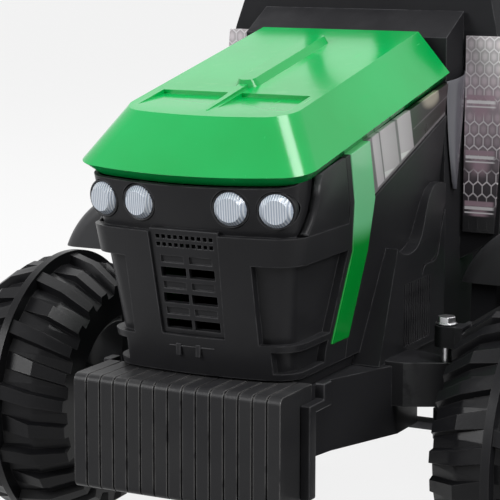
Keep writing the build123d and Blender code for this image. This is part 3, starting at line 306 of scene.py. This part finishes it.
def brightSteel(name, look):
    own = steelSet
    material, coords, shader = startMaterial(name, Metallic=1.0)
    drawn = coords.noise(*own["drawn"])
    cloud = coords.noise(*own["cloud"])
    shade = tuple(c * own["shade"] for c in look["colour"][:3]) + (1.0,)
    wire(
        coords,
        shader,
        Base_Color=cloud.step(*own["clouded"]).blend(look["colour"], shade),
        Roughness=look["rough"] + (cloud - 0.5) * own["cloudRough"] + (drawn - 0.5) * own["drawnRough"],
        Normal=drawn.bump(*own["bump"]),
    )
    return material


zincSteel = brightSteel("zincSteel", zincLook)
blackSteel = brightSteel("blackSteel", darkLook)

lensLook = {  # upright flutes
    "colour": rgb(230, 237, 245), "deep": rgb(164, 177, 196),
    "axis": 0, "flutes": 2850.0, "ridge": (-0.8, 0.9), "bump": (0.35, 0.0008),
    "rough": 0.16, "speckle": 300.0, "speckleRough": 0.1, "coat": 1.0, "coatRough": 0.03,
}
redLook = {  # level prisms
    "colour": rgb(190, 22, 18), "deep": rgb(120, 8, 8),
    "axis": 2, "flutes": 900.0, "ridge": (-1.0, 1.0), "bump": (0.3, 0.0008),
    "rough": 0.2, "speckle": 200.0, "speckleRough": 0.1, "coat": 0.8, "coatRough": 0.05,
}


def flutedLens(name, look):
    material, coords, shader = startMaterial(name, Coat_Weight=look["coat"], Coat_Roughness=look["coatRough"])
    flute = coords.axes()[look["axis"]].wave(look["flutes"])
    wire(
        coords,
        shader,
        Base_Color=flute.step(*look["ridge"]).blend(look["deep"], look["colour"]),
        Roughness=look["rough"] + coords.noise(look["speckle"]) * look["speckleRough"],
        Normal=flute.bump(*look["bump"]),
    )
    return material


windowLook = {  # millimetres in side view, from the front axle and the ground
    "lean": 0.56, "leanFrom": 400.0, "sill": (-41.0, 364.0), "sillRise": 0.3836,
    "panels": ((-47.0, -31.0), (-28.0, 8.5), (14.0, 46.5)), "panelSoft": 0.7, "panelFade": 20.0,
    "wedgeTop": 13.0, "wedgeFall": 0.32, "wedgeLength": 23.0, "wedgeSoft": 0.5,
    "wedgeFoot": (5.0, 6.0), "wedgeEdge": (0.0, 0.8),
    "darkFrom": 47.5, "rearPost": (121.4, 122.6),
    "shine": (76.0, 446.0), "shineReach": (24.0, 11.0), "shineFade": (0.1, 1.3), "shineFrom": (50.0, 54.0),
    "streak": (40.0, 419.0), "streakRise": 0.32, "streakEdge": (0.4, 1.1), "streakFrom": (49.0, 51.0),
    "streakShare": 0.55, "sillEdge": (3.6, 4.4), "frontEdge": (-49.3, -48.5),
    "panel": rgb(208, 199, 205), "panelDeep": rgb(180, 171, 177), "gap": rgb(122, 115, 120),
    "dark": rgb(26, 28, 21), "post": rgb(38, 31, 31), "frame": rgb(122, 117, 120),
    "white": rgb(232, 230, 231), "glow": rgb(176, 170, 152),
    "rough": 0.26, "cloud": (25.0, 2.0), "cloudRough": 0.05, "bump": (0.3, 0.0006),
}


def printedWindow(look):
    material, coords, shader = startMaterial("printedWindow", Coat_Weight=0.1, Coat_Roughness=0.05)
    _, along, height = coords.axes()
    y = (along - frontAxleY) * mm
    z = height * mm
    lean = y + (z - look["leanFrom"]) * look["lean"]
    sillY, sillZ = look["sill"]
    sill = z - ((y - sillY) * look["sillRise"] + sillZ)
    paint = (lean > look["darkFrom"]).blend(look["gap"], look["dark"])
    for low, high in look["panels"]:
        tone = lean.step(low, high + look["panelFade"]).blend(look["panel"], look["panelDeep"])
        paint = lean.band(low, high, look["panelSoft"]).blend(paint, tone)
    for low in [panel[0] for panel in look["panels"][1:]]:  # bright wedge in the lower corner of a panel
        wedge = look["wedgeTop"] - (lean - low) * look["wedgeFall"]
        span = lean.band(low, low + look["wedgeLength"], look["wedgeSoft"]) * sill.step(*look["wedgeFoot"])
        paint = (span * (wedge - sill).step(*look["wedgeEdge"])).blend(paint, look["white"])
    shineY, shineZ = look["shine"]
    reachY, reachZ = look["shineReach"]
    reach = ((y - shineY) / reachY) ** 2 + ((z - shineZ) / reachZ) ** 2
    paint = ((1 - reach.step(*look["shineFade"])) * lean.step(*look["shineFrom"])).blend(paint, look["glow"])
    paint = lean.step(*look["rearPost"]).blend(paint, look["post"])
    streakY, streakZ = look["streak"]
    streak = (z - streakZ - (y - streakY) * look["streakRise"]).size()
    stripe = (1 - streak.step(*look["streakEdge"])) * lean.step(*look["streakFrom"]) * look["streakShare"]
    paint = stripe.blend(paint, look["frame"])
    edge = 1 - sill.step(*look["sillEdge"]) * lean.step(*look["frontEdge"])
    paint = edge.blend(paint, look["frame"])
    wire(
        coords,
        shader,
        Base_Color=paint,
        Roughness=look["rough"] + coords.noise(*look["cloud"]) * look["cloudRough"],
        Normal=edge.bump(*look["bump"]),
    )
    return material


shieldLook = {  # millimetres seen from the front; bands as low, high and softness from a bar's middle
    "cellWidth": 9.5, "cellHeight": 16.0, "cellLine": (0.425, 0.465),
    "cellShade": (0.1, 0.42), "shadeShare": 0.35,
    "bars": (435.0, 380.0, 329.0), "plain": (-14.0, 0.0, 5.0), "blush": (-16.0, 0.0, 6.0),
    "blushAt": 130.0, "blushReach": (3.0, 13.0),
    # the mauve strip just over each bar is a painted shadow
    "paintedBarShadow": (2.0, 7.0, 0.8), "upperLine": (-1.6, 1.6, 0.4), "lowerLine": (-5.4, -4.0, 0.4),
    "barFrom": (114.0, 115.5), "barTo": (143.0, 147.0), "foot": (320.0, 322.0), "lineFrom": (322.0, 350.0),
    "middleFrom": (340.0, 430.0), "highFrom": (440.0, 475.0),
    "low": rgb(58, 53, 58), "middle": rgb(196, 179, 188), "high": rgb(214, 204, 210),
    "line": rgb(222, 216, 220), "bar": rgb(240, 236, 239), "mauve": rgb(176, 150, 162),
    "base": rgb(34, 34, 36),
    "rough": 0.28, "cloud": (80.0, 4.0), "cloudRough": 0.12, "bump": (0.2, 0.0005),
}


def honeycomb(x, z, width, tall):  # 0 in the middle of a cell, 0.5 on its border
    row = sqrt(3.0)
    across = x / width
    up = z * (2.0 / row / tall)

    def cell(shiftAcross, shiftUp):
        a = ((across + shiftAcross).wrap(1.0) - 0.5).size()
        b = ((up + shiftUp).wrap(row) - row / 2).size()
        return a.maths("MAXIMUM", a, a * 0.5 + b * (row / 2))

    first = cell(0.0, 0.0)
    return first.maths("MINIMUM", first, cell(0.5, row / 2))


def printedShield(look):
    material, coords, shader = startMaterial("printedShield", Coat_Weight=0.4, Coat_Roughness=0.08)
    across, _, height = coords.axes()
    x = across.size() * mm
    z = height * mm

    def strip(bar, key):
        low, high, soft = look[key]
        return z.band(bar + low, bar + high, soft)

    cells = honeycomb(x, z, look["cellWidth"], look["cellHeight"])
    line = cells.step(*look["cellLine"])
    tone = z.step(*look["middleFrom"]).blend(look["low"], look["middle"])
    tone = z.step(*look["highFrom"]).blend(tone, look["high"])
    tone = (cells.step(*look["cellShade"]) * look["shadeShare"]).blend(tone, look["low"])
    for bar in look["bars"]:
        line = line * (1 - strip(bar, "plain"))  # no cells under a bar
        spot = 1 - (x - look["blushAt"]).size().step(*look["blushReach"])
        tone = (strip(bar, "blush") * spot).blend(tone, look["mauve"])
    paint = (line * z.step(*look["lineFrom"])).blend(tone, look["line"])
    reach = x.step(*look["barFrom"]) * (1 - x.step(*look["barTo"]))
    for bar in look["bars"]:
        # painted shadow: a mauve strip just over each bar
        paint = (strip(bar, "paintedBarShadow") * reach).blend(paint, look["mauve"])
        lines = strip(bar, "upperLine") + strip(bar, "lowerLine")
        paint = (lines * reach).blend(paint, look["bar"])
    paint = (1 - z.step(*look["foot"])).blend(paint, look["base"])
    wire(
        coords,
        shader,
        Base_Color=paint,
        Roughness=look["rough"] + coords.noise(*look["cloud"]) * look["cloudRough"],
        Normal=line.bump(*look["bump"]),
    )
    return material


smokedLook = {
    "colour": rgb(34, 34, 37), "shade": rgb(24, 24, 27), "weave": 900.0, "twill": (-0.6, 0.6),
    "rough": 0.24, "cloud": (90.0, 4.0), "cloudRough": 0.12, "bump": (0.1, 0.0004),
}


def smokedPanel(look):
    material, coords, shader = startMaterial("smokedPanel", Coat_Weight=0.6, Coat_Roughness=0.06)
    across, _, height = coords.axes()
    twill = (across + height).wave(look["weave"])
    wire(
        coords,
        shader,
        Base_Color=twill.step(*look["twill"]).blend(look["shade"], look["colour"]),
        Roughness=look["rough"] + coords.noise(*look["cloud"]) * look["cloudRough"],
        Normal=twill.bump(*look["bump"]),
    )
    return material


windowMaterial = printedWindow(windowLook)
shieldMaterial = printedShield(shieldLook)
smokedMaterial = smokedPanel(smokedLook)
lensMaterial = flutedLens("clearLens", lensLook)
redMaterial = flutedLens("redLens", redLook)
print("materials:", len(bpy.data.materials))

finishes = {
    "green_gloss": greenPlastic, "black_plastic": blackPlastic, "grey_plastic": greyPlastic,
    "smoked_panel": smokedMaterial, "lens_clear": lensMaterial, "lens_red": redMaterial,
    "tyre_black": tyrePlastic, "rim_grey": rimPlastic, "zinc_steel": zincSteel, "black_steel": blackSteel,
    "battery_case": greyPlastic,
}
ownFinish = {
    "front_weights": weightPlastic, "side_stripes": stripePlastic, "side_windows": windowMaterial,
    "shield_panels": shieldMaterial, "cowl": cowlPlastic,
}
slotOf = {part["node"]: part["material_slot"] for part in record["subparts"]}
softEdges = {  # metres
    "default": 0.0010, "hood": 0.0045, "front_weights": 0.0018, "nose": 0.0016, "grille": 0.0005,
    "wheel_arch_left": 0.0020, "wheel_arch_right": 0.0020, "shield_panels": 0.0005, "side_windows": 0.0005,
    "headlamp_lenses": 0.0006, "front_tyre_left": 0.0016, "front_tyre_right": 0.0016,
    "rear_tyre_left": 0.0020, "rear_tyre_right": 0.0020,
}
edgeSet = {"weld": 0.00002, "angle": radians(32), "steps": 2, "hoodSteps": 4}


def evenShading(thing):
    thing.data.polygons.foreach_set("use_smooth", [True] * len(thing.data.polygons))
    even = thing.modifiers.new("even", "WEIGHTED_NORMAL")
    even.keep_sharp = False


def dressNode(name):
    node = nodes[name]
    node.data.materials.clear()
    node.data.materials.append(ownFinish.get(name, finishes[slotOf[name]]))
    weld = node.modifiers.new("weld", "WELD")
    weld.merge_threshold = edgeSet["weld"]
    edge = node.modifiers.new("edge", "BEVEL")
    edge.width = softEdges.get(name, softEdges["default"])
    edge.segments = edgeSet["hoodSteps"] if name == "hood" else edgeSet["steps"]
    edge.limit_method = "ANGLE"
    edge.angle_limit = edgeSet["angle"]
    evenShading(node)


for name in nodes:
    dressNode(name)
print("dressed:", len(nodes), "nodes")


def finishPiece(name, build, material, body="chassis"):
    mesh = bpy.data.meshes.new(name)
    build.to_mesh(mesh)
    build.free()
    mesh.materials.append(material)
    piece = bpy.data.objects.new(name, mesh)
    bpy.context.scene.collection.objects.link(piece)
    evenShading(piece)
    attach(piece, body)


def roundEdges(build, edges, offset, steps=2):
    bmesh.ops.bevel(
        build, geom=edges, offset=offset, affect="EDGES", segments=steps, profile=0.5, material=-1
    )


def bothSides(build):
    bmesh.ops.mirror(build, geom=build.verts[:] + build.edges[:] + build.faces[:], axis="X", merge_dist=0.0)
    bmesh.ops.recalc_face_normals(build, faces=build.faces)


def sideSlab(build, outline, outerX, depth):  # a side-view outline made solid towards the middle
    corners = [build.verts.new((outerX(z), frontAxleY + y / mm, z / mm)) for y, z in outline]
    outer = build.faces.new(corners)
    grown = bmesh.ops.extrude_face_region(build, geom=[outer])["geom"]
    inner = [item for item in grown if isinstance(item, bmesh.types.BMVert)]
    bmesh.ops.translate(build, verts=inner, vec=(-depth, 0, 0))
    return corners


bladeSet = {  # millimetres in side view, from the front axle and the ground: (y, z) down each edge
    "front": ((118.0, 458.0), (121.0, 425.0), (139.0, 351.0)),
    "rear": ((164.0, 466.0), (158.0, 407.0), (145.0, 349.0)),
    # metres from here: the neck's side, then the strip itself
    "neck": 0.109, "proud": 0.0002, "dome": 0.0070, "domeFall": 0.7, "wall": 0.0012,
    "columns": 10, "rows": 18,
}


def parabola(points, t):  # through three points, at a share of the way down
    (y0, z0), (y1, z1), (y2, z2) = points
    z = z0 + (z2 - z0) * t
    y = (
        y0 * (z - z1) * (z - z2) / ((z0 - z1) * (z0 - z2))
        + y1 * (z - z0) * (z - z2) / ((z1 - z0) * (z1 - z2))
        + y2 * (z - z0) * (z - z1) / ((z2 - z0) * (z2 - z1))
    )
    return Vector((0.0, frontAxleY + y / mm, z / mm))


def pillarBlades(settings):  # tapered silver strips on both sides of the cowl's neck
    neckX = settings["neck"] + settings["proud"]
    build = bmesh.new()
    bmesh.ops.create_grid(build, x_segments=settings["columns"], y_segments=settings["rows"], size=1.0)
    for vert in build.verts:
        share, down = (vert.co.x + 1) / 2, (1 - vert.co.y) / 2
        place = parabola(settings["front"], down).lerp(parabola(settings["rear"], down), share)
        dome = settings["dome"] * (1 - (2 * share - 1) ** 2) * (1 - settings["domeFall"] * down)
        vert.co = place + Vector((neckX + settings["wall"] + dome, 0, 0))
    bmesh.ops.recalc_face_normals(build, faces=build.faces)
    bmesh.ops.solidify(build, geom=build.faces[:], thickness=settings["wall"])
    bothSides(build)
    finishPiece("pillar_blades", build, bladePlastic)


pillarBlades(bladeSet)

latchSet = {  # small catches under the grille, millimetres from the front axle; the rounding in metres
    "line": (-2.0, -191.6, 243.2), "lineSize": (45.0, 2.4, 1.4),
    "tabs": (-15.0, 4.6), "tabSize": (4.6, 4.4, 11.0), "hang": 3.0, "round": 0.0005,
}


def noseLatch(settings):
    build = bmesh.new()
    middle = Vector(settings["line"])
    low = middle.z - settings["hang"]
    blocks = [(middle, settings["lineSize"])]
    blocks += [(Vector((x, middle.y, low)), settings["tabSize"]) for x in settings["tabs"]]
    for place, size in blocks:
        spot = Matrix.Translation((place / mm) + Vector((0, frontAxleY, 0)))
        bmesh.ops.create_cube(build, size=1.0, matrix=spot @ Matrix.Diagonal(Vector(size + (mm,)) / mm))
    roundEdges(build, build.edges[:], settings["round"])
    finishPiece("nose_latch", build, blackPlastic)


noseLatch(latchSet)

cheekSet = {  # closes the rear of the lamp band; millimetres in side view, from the front axle and the ground
    "curve": (
        (-165.0, 398.4), (-165.0, 379.0), (-167.5, 368.0), (-172.5, 358.5), (-179.0, 351.0), (-184.0, 347.4),
    ),
    "back": ((-93.6, 347.4), (-96.4, 366.0), (-115.5, 408.5)),
    # the nose's side leans out from its foot; the rest in metres
    "footZ": 218.0, "footX": 0.0900, "flare": 0.104, "flush": 0.0002,
    "depth": 0.0077, "ramp": 0.004, "steps": 4,
}


def lampCheeks(settings):
    def noseSide(z):
        return settings["footX"] + settings["flare"] * (z - settings["footZ"]) / mm - settings["flush"]

    build = bmesh.new()
    corners = sideSlab(build, settings["curve"] + settings["back"], noseSide, settings["depth"])
    front = set(corners[: len(settings["curve"])])
    ramp = [edge for edge in build.edges if edge.verts[0] in front and edge.verts[1] in front]
    roundEdges(build, ramp, settings["ramp"], settings["steps"])
    bothSides(build)
    finishPiece("lamp_cheeks", build, blackPlastic)


lampCheeks(cheekSet)

strapSet = {  # stepped rims beside the weights; millimetres in side view, from the front axle and the ground
    "front": ((-161.0, 216.0), (-161.0, 202.0), (-190.0, 202.0), (-190.0, 118.0)),
    "rear": ((-177.0, 118.0), (-177.0, 194.0), (-145.0, 194.0), (-145.0, 216.0)),
    "inner": 0.1025, "outer": 0.1120, "round": 0.0014,  # metres
}


def weightStraps(settings):
    def outerSide(z):  # the same at any height
        return settings["outer"]

    build = bmesh.new()
    sideSlab(build, settings["front"] + settings["rear"], outerSide, settings["outer"] - settings["inner"])
    bmesh.ops.recalc_face_normals(build, faces=build.faces)
    roundEdges(build, build.edges[:], settings["round"])
    bothSides(build)
    finishPiece("weight_straps", build, blackPlastic)


weightStraps(strapSet)
print("trim: blades, latch, cheeks and straps")

stageSet = {
    "floor": rgb(238, 238, 238), "fleck": rgb(244, 244, 244), "bounce": rgb(110, 110, 110),
    "size": 14.0, "cells": 2, "rough": 0.7, "cloud": (3.0, 4.0), "glow": 0.86,
}


def seenRays(tree):  # 1 where the camera, a reflection or a clear piece looks
    rays = tree.nodes.new("ShaderNodeLightPath")
    seen = Field(tree, rays.outputs["Is Camera Ray"])
    for kind in ("Is Glossy Ray", "Is Transmission Ray"):
        seen = seen.maths("MAXIMUM", seen, Field(tree, rays.outputs[kind]))
    return seen


def paleFloor(settings):
    mesh = bpy.data.meshes.new("floor")
    build = bmesh.new()
    cells = settings["cells"]
    bmesh.ops.create_grid(build, x_segments=cells, y_segments=cells, size=settings["size"])
    build.to_mesh(mesh)
    build.free()
    floor = bpy.data.objects.new("floor", mesh)
    bpy.context.scene.collection.objects.link(floor)
    material, coords, shader = startMaterial("paleFloor", Roughness=settings["rough"])
    tree = material.node_tree
    seen = seenRays(tree)
    pale = coords.noise(*settings["cloud"]).blend(settings["floor"], settings["fleck"])
    wire(coords, shader, Base_Color=seen.blend(settings["bounce"], pale))  # throws little light back up
    glow = tree.nodes.new("ShaderNodeEmission")
    mixer = tree.nodes.new("ShaderNodeMixShader")
    coords.feed(mixer.inputs[0], seen * settings["glow"])
    tree.links.new(shader.outputs[0], mixer.inputs[1])
    tree.links.new(glow.outputs[0], mixer.inputs[2])
    tree.links.new(mixer.outputs[0], tree.nodes["Material Output"].inputs["Surface"])
    floor.data.materials.append(material)


paleFloor(stageSet)

lampSet = {
    "overhead": {"place": (1.0, -0.7, 3.0), "aim": (0, -0.3, 0.3), "size": (0.9, 1.4), "watts": 46},
    "frontLeft": {"place": (-2.0, -2.8, 1.9), "aim": (0, -0.3, 0.3), "size": (1.8, 1.8), "watts": 84},
    "frontRight": {"place": (3.0, -1.3, 2.4), "aim": (0.1, -0.2, 0.42), "size": (1.4, 1.4), "watts": 60},
    "rearTop": {"place": (-0.4, 1.6, 3.2), "aim": (0, 0.1, 0.2), "size": (2.6, 2.6), "watts": 46},
}


def facing(place, aim):
    return (Vector(aim) - Vector(place)).to_track_quat("-Z", "Y").to_euler()


def softLamp(name, settings):
    data = bpy.data.lights.new(name, "AREA")
    data.shape = "RECTANGLE"
    data.size, data.size_y = settings["size"]
    data.energy = settings["watts"]
    lamp = bpy.data.objects.new(name, data)
    lamp.location = settings["place"]
    lamp.rotation_euler = facing(settings["place"], settings["aim"])
    bpy.context.scene.collection.objects.link(lamp)


for name, settings in lampSet.items():
    softLamp(name, settings)

skySet = {"colour": (1, 1, 1, 1), "ambient": 0.09}
world = bpy.data.worlds.new("studio")
world.use_nodes = True
bpy.context.scene.world = world
sky = world.node_tree.nodes["Background"]
sky.inputs["Color"].default_value = skySet["colour"]
lift = seenRays(world.node_tree) * (1.0 - skySet["ambient"]) + skySet["ambient"]  # white where it is seen
lift.feed(sky.inputs["Strength"], lift)
print("stage: floor, sky and", len(lampSet), "lamps")

cameraSet = {  # worked out from the photograph: metres from the front axle, and photo pixels
    "eye": (0.81948, -1.69294, 0.61943), "aim": (0.0, -0.150, 0.350),
    "photo": 500.0, "lens": 1991.2, "aimPixel": (216.53, 220.41), "sensor": 36.0, "farthest": 100.0,
}


def photoView(settings):
    (eyeX, eyeY, eyeZ), (aimX, aimY, aimZ) = settings["eye"], settings["aim"]
    eye = Vector((eyeX, frontAxleY + eyeY, eyeZ))
    aim = Vector((aimX, frontAxleY + aimY, aimZ))
    photo, (pixelX, pixelY) = settings["photo"], settings["aimPixel"]
    data = bpy.data.cameras.new("photoView")
    data.sensor_width = settings["sensor"]
    data.lens = settings["lens"] * data.sensor_width / photo
    data.shift_x = (photo / 2 - pixelX) / photo
    data.shift_y = (pixelY - photo / 2) / photo
    data.clip_end = settings["farthest"]
    camera = bpy.data.objects.new("photoView", data)
    camera.location = eye
    camera.rotation_euler = facing(eye, aim)
    bpy.context.scene.collection.objects.link(camera)
    bpy.context.scene.camera = camera
    print("camera:", round(data.lens, 1), "mm")


photoView(cameraSet)
bpy.context.scene.view_settings.view_transform = "Standard"
